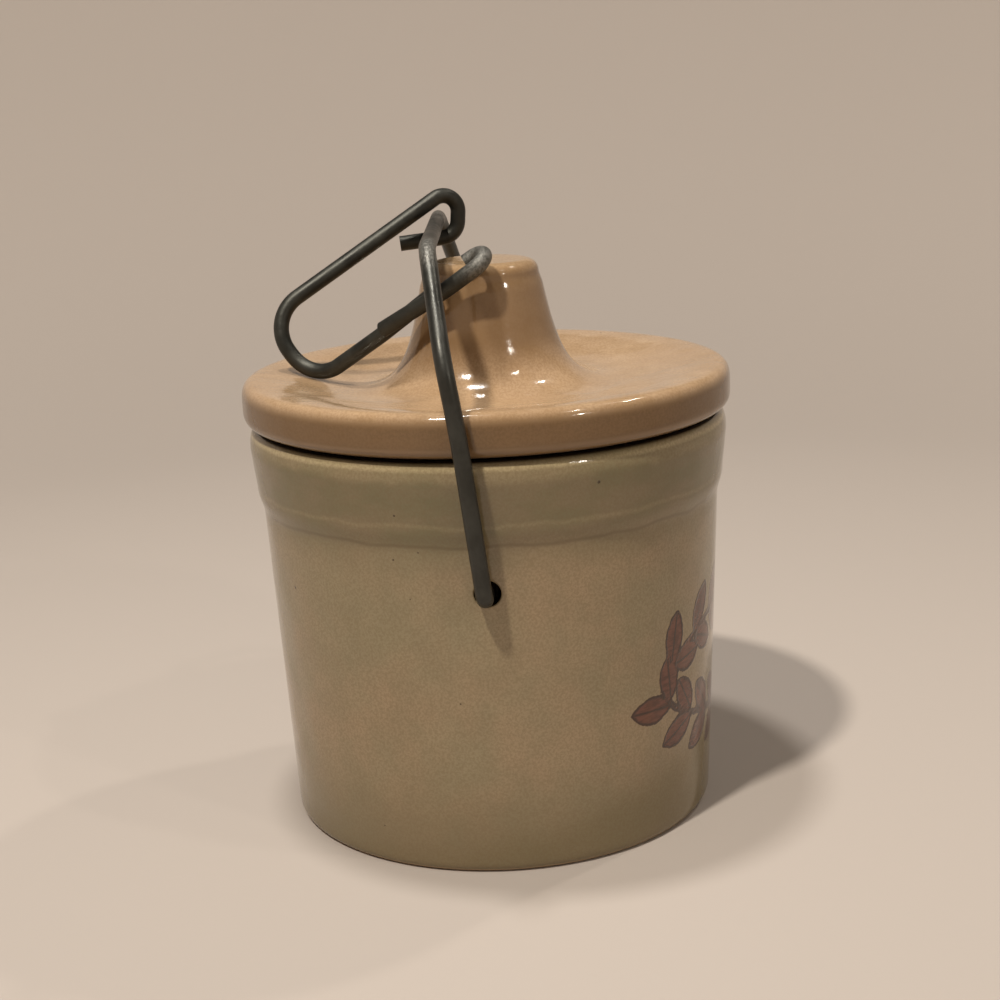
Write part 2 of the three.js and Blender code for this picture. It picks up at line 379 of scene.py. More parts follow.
def turning_tree():
    """Turns the input's points, a profile in the XZ plane, about Z."""
    tree = new_tree("turn_on_wheel", ("Rows", "NodeSocketInt"), ("Columns", "NodeSocketInt"),
                    ("Material", "NodeSocketMaterial"))
    given = add(tree, "NodeGroupInput").outputs
    column_ends = add(tree, "ShaderNodeMath", {0: given["Columns"], 1: 1.0}, operation="ADD").outputs[0]
    grid = add(tree, "GeometryNodeMeshGrid",
               {"Size X": 1.0, "Size Y": 1.0, "Vertices X": column_ends, "Vertices Y": given["Rows"]})
    number = add(tree, "GeometryNodeInputIndex").outputs[0]
    row = add(tree, "ShaderNodeMath", {0: number, 1: given["Rows"]}, operation="MODULO").outputs[0]
    column = add(tree, "ShaderNodeMath", {0: number, 1: given["Rows"]}, operation="DIVIDE").outputs[0]
    column = add(tree, "ShaderNodeMath", {0: column}, operation="FLOOR").outputs[0]
    share = add(tree, "ShaderNodeMath", {0: column, 1: given["Columns"]}, operation="DIVIDE").outputs[0]
    angle = add(tree, "ShaderNodeMath", {0: share, 1: 2 * math.pi}, operation="MULTIPLY").outputs[0]
    place = add(tree, "GeometryNodeInputPosition").outputs[0]
    profile = add(tree, "GeometryNodeSampleIndex", {"Geometry": given["Geometry"], "Index": row},
                  data_type="FLOAT_VECTOR", domain="POINT")
    tree.links.new(place, profile.inputs["Value"])
    turned = add(tree, "ShaderNodeVectorRotate", {"Vector": profile.outputs[0], "Angle": angle},
                 rotation_type="Z_AXIS")
    moved = add(tree, "GeometryNodeSetPosition",
                {"Geometry": grid.outputs["Mesh"], "Position": turned.outputs[0]})
    sewn = add(tree, "GeometryNodeMergeByDistance", {"Geometry": moved.outputs[0], "Distance": 1e-6})
    smooth = add(tree, "GeometryNodeSetShadeSmooth", {"Geometry": sewn.outputs[0]})
    real = add(tree, "GeometryNodeRealizeInstances", {"Geometry": smooth.outputs[0]})
    done = add(tree, "GeometryNodeSetMaterial",
               {"Geometry": real.outputs[0], "Material": given["Material"]})
    add(tree, "NodeGroupOutput", {"Geometry": done.outputs[0]})
    return tree


def wire_tree():
    """Runs a closed round section along the input curves, and keeps how far along each point is."""
    tree = new_tree("round_wire", ("Radius", "NodeSocketFloat"), ("Sides", "NodeSocketInt"),
                    ("Material", "NodeSocketMaterial"))
    given = add(tree, "NodeGroupInput").outputs
    along = add(tree, "GeometryNodeSplineParameter").outputs["Length"]
    kept = add(tree, "GeometryNodeStoreNamedAttribute",
               {"Geometry": given["Geometry"], "Name": "along", "Value": along},
               data_type="FLOAT", domain="POINT")
    ring = add(tree, "GeometryNodeCurvePrimitiveCircle",
               {"Resolution": given["Sides"], "Radius": given["Radius"]})
    tube = add(tree, "GeometryNodeCurveToMesh",
               {"Curve": kept.outputs[0], "Profile Curve": ring.outputs[0], "Fill Caps": True})
    smooth = add(tree, "GeometryNodeSetShadeSmooth", {"Geometry": tube.outputs[0]})
    real = add(tree, "GeometryNodeRealizeInstances", {"Geometry": smooth.outputs[0]})
    done = add(tree, "GeometryNodeSetMaterial",
               {"Geometry": real.outputs[0], "Material": given["Material"]})
    add(tree, "NodeGroupOutput", {"Geometry": done.outputs[0]})
    return tree


def grown(name, source, tree, values):
    """Applies a tree to the source object and returns a plain mesh object with the result."""
    modifier = source.modifiers.new(tree.name, "NODES")
    modifier.node_group = tree
    for item in tree.interface.items_tree:
        if item.in_out == "INPUT" and item.name in values:
            modifier[item.identifier] = values[item.name]
    bpy.context.collection.objects.link(source)
    seen = source.evaluated_get(bpy.context.evaluated_depsgraph_get())
    mesh = bpy.data.meshes.new_from_object(seen)
    mesh.name = name
    mesh.materials.clear()
    mesh.materials.append(values["Material"])
    mesh.polygons.foreach_set("material_index", [0] * len(mesh.polygons))
    piece = bpy.data.objects.new(name, mesh)
    bpy.context.collection.objects.link(piece)
    bpy.data.objects.remove(source)
    return piece


def turned(name, profile, columns, material, tree):
    """A profile of (radius, height) in millimetres, turned about Z."""
    points = [(r * MM, 0, z * MM) for r, z in profile]
    edges = [(i, i + 1) for i in range(len(profile) - 1)]
    line = bpy.data.meshes.new(name + "_profile")
    line.from_pydata(points, edges, [])
    source = bpy.data.objects.new(name + "_profile", line)
    return grown(name, source, tree, {"Rows": len(profile), "Columns": columns, "Material": material})


def outward(piece):
    """Turns every face out, where the shape's volume comes out negative."""
    mesh = piece.data
    mesh.calc_loop_triangles()
    corners = np.empty(len(mesh.vertices) * 3)
    mesh.vertices.foreach_get("co", corners)
    corners = corners.reshape(-1, 3)
    faces = np.empty(len(mesh.loop_triangles) * 3, int)
    mesh.loop_triangles.foreach_get("vertices", faces)
    a, b, c = (corners[faces.reshape(-1, 3)[:, i]] for i in range(3))
    if np.einsum("ij,ij->i", a, np.cross(b, c)).sum() < 0:
        mesh.flip_normals()
    return piece


# Routes of the wires

def fillet(before, corner, after, radius):
    """Points round a corner of a route, on an arc of the given radius."""
    into = (corner - before).normalized()
    away = (after - corner).normalized()
    turn = into.angle(away)
    axis = into.cross(away).normalized()
    start = corner - into * radius * math.tan(turn / 2)
    inward = axis.cross(into)
    centre = start + inward * radius
    count = max(3, math.ceil(math.degrees(turn) / BEND_STEP_DEG))
    arc = []
    for k in range(count + 1):
        arc.append(centre + Matrix.Rotation(turn * k / count, 3, axis) @ (-inward * radius))
    return arc


def route(corners, bends):
    """A wire's centre line in millimetres: its ends, and the arcs at its corners."""
    spots = [Vector(c) for c in corners]
    line = [spots[0]]
    for i in range(1, len(spots) - 1):
        line += fillet(spots[i - 1], spots[i], spots[i + 1], bends[i - 1])
    return line + [spots[-1]]


def cut_ends(line):
    """Adds points near both ends, with the radius shares that round the edge of a sheared wire."""
    first = (line[1] - line[0]).normalized()
    last = (line[-2] - line[-1]).normalized()
    head = [(line[0] + first * d, share) for d, share in CUT_EDGE]
    tail = [(line[-1] + last * d, share) for d, share in reversed(CUT_EDGE)]
    return head + [(p, 1.0) for p in line[1:-1]] + tail


def wires(name, lines, material, tree):
    """Wires of one piece, each a line of points, made as one mesh."""
    curve = bpy.data.curves.new(name + "_route", "CURVE")
    curve.dimensions = "3D"
    for line in lines:
        points = cut_ends(line)
        spline = curve.splines.new("POLY")
        spline.points.add(len(points) - 1)
        for spot, (place, share) in zip(spline.points, points):
            spot.co = (*(place * MM), 1.0)
            spot.radius = share
    source = bpy.data.objects.new(name + "_route", curve)
    return grown(name, source, tree, {"Radius": WIRE_R * MM, "Sides": WIRE_SIDES, "Material": material})


def bail(material, tree):
    """One wire from pin to pin: up both legs and over the lid in a crossbar."""
    def leg(side, bar_y):
        return [(side * PIN_END_X, PIVOT_Y, PIVOT_Z), (side * LEG_FOOT_X, PIVOT_Y, PIVOT_Z),
                (side * LEG_MID[0], *LEG_MID[1:]), (side * LEG_TURN[0], *LEG_TURN[1:]),
                (side * BAR_END_X, bar_y, BAR_Z)]
    corners = leg(-1, BAR_NEAR_Y) + leg(1, BAR_FAR_Y)[::-1]
    return wires("bail_wire", [route(corners, BAIL_BENDS + BAIL_BENDS[::-1])], material, tree)


def clamp(material, tree):
    """A long loop hooked over the crossbar, and the strand with the foot that presses on the knob."""
    handle = route([HOOK_END, HOOK_UNDER, HOOK_OVER, HANDLE_TIP, HANDLE_LOW, STRAND_MID, STRAND_END],
                   HANDLE_BENDS)
    foot = route([LAP_END, LAP_MID, FOOT_FRONT, FOOT_BACK, FOOT_END], FOOT_BENDS)
    return wires("clamp_wire", [handle, foot], material, tree)


# Sockets in the crock's wall

def socket_rings():
    """Rings of a socket as (radius, depth): its mouth's rounding, its bore and its bottom."""
    mouth = bezier([(SOCKET_MOUTH_R, 0), (SOCKET_R, 0), (SOCKET_R, SOCKET_MOUTH_DEPTH)], 6)
    return mouth[1:] + [(SOCKET_R * share, depth) for share, depth in SOCKET_BOTTOM_RINGS]


def open_block(work, side):
    """Takes a block of faces out of the wall's grid and returns the points round the opening, in order."""
    half = 2 * math.pi * wall_radius(SOCKET_Z) * SOCKET_BLOCK_COLUMNS / CROCK_COLUMNS
    gone = []
    for face in work.faces:
        c = face.calc_center_median() / MM
        on_wall = math.hypot(c.x, c.y) > BASE_R and c.x * side > 0
        if on_wall and abs(c.y) < half and abs(c.z - SOCKET_Z) < half:
            gone.append(face)
    edges = {e for f in gone for e in f.edges if any(g not in gone for g in e.link_faces)}
    points = {v for e in edges for v in e.verts}
    bmesh.ops.delete(work, geom=gone, context="FACES")
    return sorted(points, key=lambda v: math.atan2(v.co.z / MM - SOCKET_Z, v.co.y / MM))


def socket_ring(work, loop, side, radius, depth, blend):
    """The loop's points brought to a radius and a depth. A blend of one leaves their radius as it is."""
    made = []
    for v in loop:
        y, z = v.co.y / MM, v.co.z / MM - SOCKET_Z
        scale = radius / math.hypot(y, z) * (1 - blend) + blend
        y, z = y * scale, z * scale + SOCKET_Z
        wall = math.sqrt(wall_radius(z) ** 2 - y * y)
        x = wall - depth if depth < FLAT_FROM_DEPTH else SOCKET_BOTTOM_X + SOCKET_DEPTH - depth
        made.append(work.verts.new((side * x * MM, y * MM, z * MM)))
    return made


def bridge(work, outer, inner):
    for i in range(len(outer)):
        j = (i + 1) % len(outer)
        work.faces.new((outer[i], outer[j], inner[j], inner[i]))


def cut_socket(piece, side):
    """Opens a block of the wall's grid and fills it with rings that run into a blind round hole."""
    work = bmesh.new()
    work.from_mesh(piece.data)
    loop = open_block(work, side)
    rings = [loop]
    for k in range(1, APRON_RINGS + 1):
        rings.append(socket_ring(work, loop, side, SOCKET_MOUTH_R, 0, 1 - k / APRON_RINGS))
    for radius, depth in socket_rings():
        rings.append(socket_ring(work, loop, side, radius, depth, 0))
    for outer, inner in zip(rings, rings[1:]):
        bridge(work, outer, inner)
    work.faces.new(rings[-1])
    bmesh.ops.recalc_face_normals(work, faces=work.faces)
    for face in work.faces:
        face.smooth = True
    work.to_mesh(piece.data)
    work.free()


# The print on the front

def leaf_gap(along, across, length, width):
    """Distance in millimetres to a pointed leaf's outline, negative inside. Along runs from its middle."""
    a, b = length / 2, width / 2
    radius = (a * a + b * b) / (2 * b)
    shift = radius - b
    x, y = np.abs(across), np.abs(along)
    past_tip = (y - a) * shift > x * a
    return np.where(past_tip, np.hypot(x, y - a), np.hypot(x + shift, y) - radius)


def place_leaf(u, v, spot, turn, length, width):
    """Distance to a leaf whose middle is at spot, turned by an angle, and the distance from its midrib."""
    du, dv = u - spot[0], v - spot[1]
    along = du * math.cos(turn) + dv * math.sin(turn)
    across = dv * math.cos(turn) - du * math.sin(turn)
    return leaf_gap(along, across, length, width), across


def stem_angles():
    """Where the leaf pairs stand, evenly along a branch, as angles from the wreath's lowest point."""
    fine = np.linspace(0, math.pi, 400)
    pace = np.hypot(WREATH_HALF_WIDTH * np.cos(fine), WREATH_HALF_HEIGHT * np.sin(fine))
    run = np.concatenate([[0], np.cumsum((pace[1:] + pace[:-1]) / 2)])
    return np.interp(np.linspace(*BRANCH_SPAN, LEAF_PAIRS) * run[-1], run, fine)


def leaf_pair(side, angle):
    """The two leaves that grow out of a branch at one place. The one outside the wreath is shorter."""
    reach = LEAF_LENGTH * 0.5
    stem = (side * WREATH_HALF_WIDTH * math.sin(angle), -WREATH_HALF_HEIGHT * math.cos(angle))
    way = math.atan2(WREATH_HALF_HEIGHT * math.sin(angle), side * WREATH_HALF_WIDTH * math.cos(angle))
    pair = []
    for lean in (-1, 1):
        turn = way + lean * math.radians(LEAF_LEAN_DEG)
        spot = (stem[0] + reach * math.cos(turn), stem[1] + reach * math.sin(turn))
        length = LEAF_LENGTH * (1 - OUTER_LEAF_SHORTER * (lean * side > 0))
        pair.append((spot, turn, length, LEAF_WIDTH))
    return pair


def wreath_leaves():
    """The leaves of both branches, from the bottom round to the top, as middle, turn, length and width."""
    leaves = []
    for side in (-1, 1):
        for angle in stem_angles():
            leaves += leaf_pair(side, angle)
    return leaves


def flower_petals():
    petals = []
    for k in range(PETALS):
        turn = 2 * math.pi * k / PETALS
        spot = (PETAL_REACH * math.cos(turn), PETAL_REACH * math.sin(turn))
        petals.append((spot, turn, PETAL_LENGTH, PETAL_WIDTH))
    return petals


def print_fields(u, v):
    """Distance to the print's outline and to the midribs, over the wall's points."""
    edge = np.full(u.shape, FAR_OFF)
    rib = np.full(u.shape, FAR_OFF)
    for spot, turn, length, width in wreath_leaves() + flower_petals():
        gap, across = place_leaf(u, v, spot, turn, length, width)
        rib = np.where(gap < edge, across, rib)
        edge = np.minimum(edge, gap)
    reach = np.hypot(u / WREATH_HALF_WIDTH, v / WREATH_HALF_HEIGHT)
    steep = np.hypot(u / WREATH_HALF_WIDTH ** 2, v / WREATH_HALF_HEIGHT ** 2)
    slope = steep / np.maximum(reach, 1e-6)
    stem = np.abs(reach - 1) / np.maximum(slope, 1e-6) - STEM_HALF
    centre = np.hypot(u, v) - CENTRE_R
    return np.minimum(np.minimum(edge, stem), centre), rib


def add_print(piece):
    """Keeps the print's distances on the crock's points, for its glaze to draw."""
    mesh = piece.data
    corners = np.empty(len(mesh.vertices) * 3)
    mesh.vertices.foreach_get("co", corners)
    x, y, z = corners.reshape(-1, 3).T / MM
    radius = np.hypot(x, y)
    u = np.arctan2(x, -y) * np.maximum(radius, 1.0)
    edge, rib = print_fields(u, z - PRINT_MIDDLE_Z)
    on_wall = (radius > BASE_R - 0.5) & (z > PRINT_LOW_Z)
    for name, field in (("print_edge", np.where(on_wall, edge, FAR_OFF)), ("print_rib", rib)):
        kept = mesh.attributes.new(name, "FLOAT", "POINT")
        kept.data.foreach_set("value", field.astype(np.float32))


# Parts of the finishes

def new_finish(name):
    """A material, its node tree, its shader and the piece's own coordinates."""
    finish = bpy.data.materials.new(name)
    finish.use_nodes = True
    tree = finish.node_tree
    where = add(tree, "ShaderNodeTexCoord").outputs["Object"]
    return finish, tree, tree.nodes["Principled BSDF"], where


def lumps(tree, where, size_mm, detail, height, base=0.0):
    """Noise whose lumps are about size_mm across, as high as height and standing on base."""
    ins = {"Vector": where, "Scale": 1 / (size_mm * MM), "Detail": detail}
    bumpy = add(tree, "ShaderNodeTexNoise", ins).outputs["Fac"]
    return add(tree, "ShaderNodeMath", {0: bumpy, 1: height, 2: base}, operation="MULTIPLY_ADD").outputs[0]


def patches(tree, where, size_mm, detail, roughness, limits, ends=(0.0, 1.0)):
    """Patches about size_mm across: noise between two limits, run smoothly from one end to the other."""
    ins = {"Vector": where, "Scale": 1 / (size_mm * MM), "Detail": detail, "Roughness": roughness}
    cloud = add(tree, "ShaderNodeTexNoise", ins).outputs["Fac"]
    return add(tree, "ShaderNodeMapRange", {0: cloud, 1: limits[0], 2: limits[1], 3: ends[0], 4: ends[1]},
               interpolation_type="SMOOTHSTEP").outputs[0]


def clouded(tree, where, colour, other, size_mm, detail, roughness, limits, most=1.0):
    """One colour with patches of another over it, at most as strong as most."""
    share = patches(tree, where, size_mm, detail, roughness, limits, (0.0, most))
    return add(tree, "ShaderNodeMix", {0: share, 6: colour, 7: other}, data_type="RGBA").outputs[2]


def tinted(tree, colour, tint, mask, amount=1.0):
    """The colour with a tint over it where the mask is one, as strong as the amount."""
    share = add(tree, "ShaderNodeMath", {0: mask, 1: amount}, operation="MULTIPLY").outputs[0]
    return add(tree, "ShaderNodeMix", {0: share, 6: colour, 7: tint}, data_type="RGBA").outputs[2]


def height_mm(tree, where):
    place = add(tree, "ShaderNodeSeparateXYZ", {0: where}).outputs
    return add(tree, "ShaderNodeMath", {0: place["Z"], 1: 1 / MM}, operation="MULTIPLY").outputs[0]


def by_height(tree, where, limits, ends=(0.0, 1.0)):
    """Runs smoothly from one end to the other between two heights in millimetres."""
    up = height_mm(tree, where)
    return add(tree, "ShaderNodeMapRange", {0: up, 1: limits[0], 2: limits[1], 3: ends[0], 4: ends[1]},
               interpolation_type="SMOOTHSTEP").outputs[0]


def by_radius(tree, where, limits):
    """Rises smoothly from nothing to one between two distances from the middle, in millimetres."""
    flat = add(tree, "ShaderNodeVectorMath", {0: where, 1: (1, 1, 0)}, operation="MULTIPLY").outputs[0]
    reach = add(tree, "ShaderNodeVectorMath", {0: flat}, operation="LENGTH").outputs["Value"]
    out = add(tree, "ShaderNodeMath", {0: reach, 1: 1 / MM}, operation="MULTIPLY").outputs[0]
    return add(tree, "ShaderNodeMapRange", {0: out, 1: limits[0], 2: limits[1]},
               interpolation_type="SMOOTHSTEP").outputs[0]


def band(tree, value, middle, half):
    """One at the middle of a band, falling smoothly to nothing at half its width either side."""
    off = add(tree, "ShaderNodeMath", {0: value, 1: middle}, operation="SUBTRACT").outputs[0]
    gap = add(tree, "ShaderNodeMath", {0: off}, operation="ABSOLUTE").outputs[0]
    return add(tree, "ShaderNodeMapRange", {0: gap, 2: half, 3: 1.0, 4: 0.0},
               interpolation_type="SMOOTHSTEP").outputs[0]


def freckles(tree, where, spacing_mm, size_mm, share):
    """Round iron specks: one in some of the cells of a Voronoi pattern."""
    largest = size_mm / spacing_mm
    cells = add(tree, "ShaderNodeTexVoronoi",
                {"Vector": where, "Scale": 1 / (spacing_mm * MM), "Randomness": 1.0}).outputs
    pick = add(tree, "ShaderNodeSeparateColor", {0: cells["Color"]}).outputs
    chosen = add(tree, "ShaderNodeMath", {0: pick[0], 1: share}, operation="LESS_THAN").outputs[0]
    size = add(tree, "ShaderNodeMath", {0: pick[1], 1: largest * 0.7, 2: largest * 0.3},
               operation="MULTIPLY_ADD").outputs[0]
    near = add(tree, "ShaderNodeMath", {0: size, 1: cells["Distance"]}, operation="SUBTRACT").outputs[0]
    spot = add(tree, "ShaderNodeMapRange", {0: near, 2: 0.25 * largest},
               interpolation_type="SMOOTHSTEP").outputs[0]
    return add(tree, "ShaderNodeMath", {0: spot, 1: chosen}, operation="MULTIPLY").outputs[0]


def grained(tree, where, colour, tint):
    """The clay's sandy grain seen through the glaze. It is drawn at 0.6 mm, coarser than the real sand,
    so that it shows."""
    return clouded(tree, where, colour, tint, GRAIN_MM, 2.0, 0.7, (0.36, 0.64), 0.36)


def glaze_gloss(tree, shader, where, bare, low, high):
    """A glaze's roughness, which wanders between two values, and dull clay where it is bare."""
    gloss = patches(tree, where, 5, 2.0, 0.5, (0.3, 0.7), (low, high))
    rough = add(tree, "ShaderNodeMix", {0: bare, 2: gloss, 3: CLAY_ROUGHNESS}, data_type="FLOAT")
    tree.links.new(rough.outputs[0], shader.inputs["Roughness"])
    shader.inputs["IOR"].default_value = GLAZE_IOR


def glaze_relief(tree, shader, where, pits):
    """The slow roll of a poured glaze, its fine orange peel and its pinholes, in millimetres."""
    roll = lumps(tree, where, 16, 1.0, 0.50)
    peel = lumps(tree, where, 3.2, 2.0, 0.055, roll)
    fine = lumps(tree, where, 0.8, 1.0, 0.010, peel)
    height = add(tree, "ShaderNodeMath", {0: pits, 1: -0.12, 2: fine}, operation="MULTIPLY_ADD").outputs[0]
    bump = add(tree, "ShaderNodeBump", {"Height": height, "Strength": 1.0, "Distance": MM})
    tree.links.new(bump.outputs[0], shader.inputs["Normal"])


# The crock's glaze

def crock_tones(tree, where):
    """Clouded tan on the wall; greener on the collar where the glaze pools, and darker there as painted
    shade under the lid; darker and browner towards the foot as painted shade.
    """
    colour = clouded(tree, where, "#8d8165", "#988468", 30, 3.0, 0.55, (0.34, 0.66))
    colour = clouded(tree, where, colour, "#81765b", 9, 2.0, 0.5, (0.40, 0.66), 0.30)
    flattened = add(tree, "ShaderNodeMapping", {"Vector": where, "Scale": (1.0, 1.0, 2.6)}).outputs[0]
    smears = patches(tree, flattened, 17, 3.0, 0.55, (0.34, 0.66))
    # The collar's greener pooled glaze, darkened as well as painted shade under the lid
    pooled_and_shaded = tinted(tree, "#6a6448", "#776a51", smears)
    colour = tinted(tree, colour, pooled_and_shaded, by_height(tree, where, POOL_AND_SHADE_Z), 0.85)
    # Painted shade: darker towards the foot
    colour = tinted(tree, colour, "#71654a", by_height(tree, where, FOOT_SHADE_Z, (1.0, 0.0)), 0.75)
    waver = add(tree, "ShaderNodeMapRange", {0: smears, 3: -0.5, 4: 0.5},
                interpolation_type="SMOOTHSTEP").outputs[0]
    uneven = add(tree, "ShaderNodeMath", {0: height_mm(tree, where), 1: waver}, operation="ADD").outputs[0]
    pale = add(tree, "ShaderNodeMapRange", {0: uneven, 1: PALE_Z[0], 2: PALE_Z[1]},
               interpolation_type="SMOOTHSTEP").outputs[0]
    return tinted(tree, colour, "#a09070", pale, 0.35)


def edge_lines(tree, where, colour):
    """The painted highlights along the rim's rounding and along the collar's foot, and the dark line at
    the collar's foot.
    """
    up = height_mm(tree, where)
    # Painted highlight along the rim's rounded edge
    colour = tinted(tree, colour, "#b9aa86", band(tree, up, RIM_HIGHLIGHT_Z, 1.0), 0.65)
    waver = lumps(tree, where, 12, 2.0, 3.0, -1.5)
    wavy = add(tree, "ShaderNodeMath", {0: up, 1: waver}, operation="ADD").outputs[0]
    # Painted highlight at the collar's foot
    colour = tinted(tree, colour, "#a39474", band(tree, wavy, COLLAR_HIGHLIGHT_Z, 0.9), 0.22)
    return tinted(tree, colour, "#57472f", band(tree, wavy, SHOULDER_LINE_Z, 0.8), 0.42)


def brushed_ink(tree, where):
    """Dark red-brown ink with upright strokes in it."""
    upright = add(tree, "ShaderNodeMapping", {"Vector": where, "Scale": (0.25, 0.25, 1.0)}).outputs[0]
    ink = clouded(tree, upright, "#4b271b", "#66392b", 0.8, 2.0, 0.6, (0.35, 0.65))
    return clouded(tree, where, ink, "#744732", 6, 2.0, 0.5, (0.4, 0.7), 0.4)


def printed(tree, where, colour):
    """The colour with the wreath printed on it, and the line that darkens the print's edge."""
    gap = add(tree, "ShaderNodeAttribute", attribute_name="print_edge").outputs["Fac"]
    rib = add(tree, "ShaderNodeAttribute", attribute_name="print_rib").outputs["Fac"]
    wander = lumps(tree, where, 1.6, 2.0, 0.9, -0.45)
    edge = add(tree, "ShaderNodeMath", {0: gap, 1: wander}, operation="ADD").outputs[0]
    inside = add(tree, "ShaderNodeMapRange", {0: edge, 1: -0.12, 2: 0.12, 3: 1.0, 4: 0.0},
                 interpolation_type="SMOOTHSTEP").outputs[0]
    line = band(tree, edge, -0.30, 0.75)
    vein = add(tree, "ShaderNodeMath", {0: band(tree, rib, 0.0, 0.55), 1: inside},
               operation="MULTIPLY").outputs[0]
    dark = add(tree, "ShaderNodeMath", {0: line, 1: vein}, operation="MAXIMUM").outputs[0]
    ink = tinted(tree, brushed_ink(tree, where), "#2f180f", dark)
    return tinted(tree, colour, ink, inside, 0.95), line


def in_sockets(tree, where):
    """One inside the sockets for the bail's pins, where their painted shade goes."""
    start = {0: where, 1: (0, 0, SOCKET_Z * MM)}
    from_axis = add(tree, "ShaderNodeVectorMath", start, operation="SUBTRACT").outputs[0]
    flat = add(tree, "ShaderNodeVectorMath", {0: from_axis, 1: (0, 1, 1)}, operation="MULTIPLY").outputs[0]
    off = add(tree, "ShaderNodeVectorMath", {0: flat}, operation="LENGTH").outputs["Value"]
    within = add(tree, "ShaderNodeMapRange",
                 {0: off, 1: SOCKET_R * MM, 2: (SOCKET_R + 0.25) * MM, 3: 1.0, 4: 0.0},
                 interpolation_type="SMOOTHSTEP").outputs[0]
    outside = by_radius(tree, where, (SOCKET_BOTTOM_X - 1.5, SOCKET_BOTTOM_X - 1.0))
    return add(tree, "ShaderNodeMath", {0: within, 1: outside}, operation="MULTIPLY").outputs[0]


def crock_glaze():
    """Salt-toned stoneware glaze: a glossy greenish tan, clouded, with sandy grain and iron specks. The
    foot is bare clay, and the sockets and the rim's seat are painted dark as shade."""
    finish, tree, shader, where = new_finish("greenish_tan_stoneware_glaze")
    colour = crock_tones(tree, where)
    colour = edge_lines(tree, where, colour)
    colour = grained(tree, where, colour, "#6f5d41")
    colour, line = printed(tree, where, colour)
    specks = freckles(tree, where, 8.0, 0.5, 0.5)
    colour = tinted(tree, colour, "#3a2a1c", specks, 0.85)
    bare = by_height(tree, where, BARE_FOOT_Z, (1.0, 0.0))
    colour = tinted(tree, colour, "#a88d6c", bare)
    # Painted shade: the dark insides of the sockets and the seam under the lid
    seat = by_height(tree, where, SHADED_RIM_Z)
    painted_shade = add(tree, "ShaderNodeMath", {0: in_sockets(tree, where), 1: seat}, operation="MAXIMUM")
    colour = tinted(tree, colour, "#1e150d", painted_shade.outputs[0])
    tree.links.new(colour, shader.inputs["Base Color"])
    glaze_gloss(tree, shader, where, bare, 0.06, 0.12)
    pits = add(tree, "ShaderNodeMath", {0: line, 1: -0.4, 2: specks}, operation="MULTIPLY_ADD").outputs[0]
    glaze_relief(tree, shader, where, pits)
    return finish


# The lid's glaze

def thick_and_shaded_glaze(tree, where):
    """How dark the lid's glaze is: most on the upright edge, where the glaze runs thick and browner and is
    darkened further as painted shade, less on the knob.
    """
    crest = by_height(tree, where, (LID_CREST_Z - 3.4, LID_CREST_Z - 0.2), (1.0, 0.0))
    outer = by_radius(tree, where, (LID_CREST_R - 5, LID_CREST_R - 1))
    side = add(tree, "ShaderNodeMath", {0: crest, 1: outer}, operation="MULTIPLY").outputs[0]
    thin_foot = band(tree, height_mm(tree, where), LID_SEAT_Z + 2.0, 0.9)
    side = add(tree, "ShaderNodeMath", {0: thin_foot, 1: -0.25, 2: side},
               operation="MULTIPLY_ADD").outputs[0]
    flare = by_height(tree, where, KNOB_TONE_Z)
    to_top = by_height(tree, where, KNOB_TOP_TONE_Z, (0.72, 0.50))
    knob = add(tree, "ShaderNodeMath", {0: flare, 1: to_top}, operation="MULTIPLY").outputs[0]
    return add(tree, "ShaderNodeMath", {0: side, 1: knob}, operation="MAXIMUM").outputs[0]


def lid_glaze():
    """Tan stoneware glaze: warm, clouded and glossy, with a sandy grain that shows through, paler where it
    thins in the dish and round the knob's top, and a few iron specks. The seat is bare clay, painted dark
    as the shade in the seam."""
    finish, tree, shader, where = new_finish("warm_tan_stoneware_glaze")
    colour = clouded(tree, where, "#a68b6d", "#b19677", 22, 3.0, 0.55, (0.34, 0.66))
    colour = clouded(tree, where, colour, "#9c7f5c", 7, 2.0, 0.5, (0.42, 0.68), 0.35)
    colour = tinted(tree, colour, "#c9ad88", band(tree, height_mm(tree, where), KNOB_TOP_Z, 1.6), 0.6)
    # Thick, browner glaze, darkest on the upright edge, where it is also painted shade
    colour = tinted(tree, colour, "#5e4424", thick_and_shaded_glaze(tree, where), 0.86)
    colour = grained(tree, where, colour, "#7d6144")
    specks = freckles(tree, where, 9.0, 0.45, 0.45)
    colour = tinted(tree, colour, "#3d2818", specks, 0.85)
    # Bare seat, painted dark as the shade in the seam under the lid
    bare = by_height(tree, where, BARE_SHADED_SEAT_Z, (1.0, 0.0))
    colour = tinted(tree, colour, "#33271b", bare)
    tree.links.new(colour, shader.inputs["Base Color"])
    glaze_gloss(tree, shader, where, bare, 0.08, 0.14)
    glaze_relief(tree, shader, where, specks)
    return finish


# The wires' steel

def near_spot(tree, where, spot, reach_mm):
    """One at a place on the piece, falling to nothing at reach_mm from it."""
    centre = tuple(c * MM for c in spot)
    gap = add(tree, "ShaderNodeVectorMath", {0: where, 1: centre}, operation="DISTANCE").outputs["Value"]
    ins = {0: gap, 1: 0.3 * reach_mm * MM, 2: reach_mm * MM, 3: 1.0, 4: 0.0}
    return add(tree, "ShaderNodeMapRange", ins, interpolation_type="SMOOTHSTEP").outputs[0]


def rubbed_places(tree, where, spots, reach_mm):
    """One at the two places where a wire rubs on the other or on the knob."""
    first, second = (near_spot(tree, where, spot, reach_mm) for spot in spots)
    return add(tree, "ShaderNodeMath", {0: first, 1: second}, operation="MAXIMUM").outputs[0]


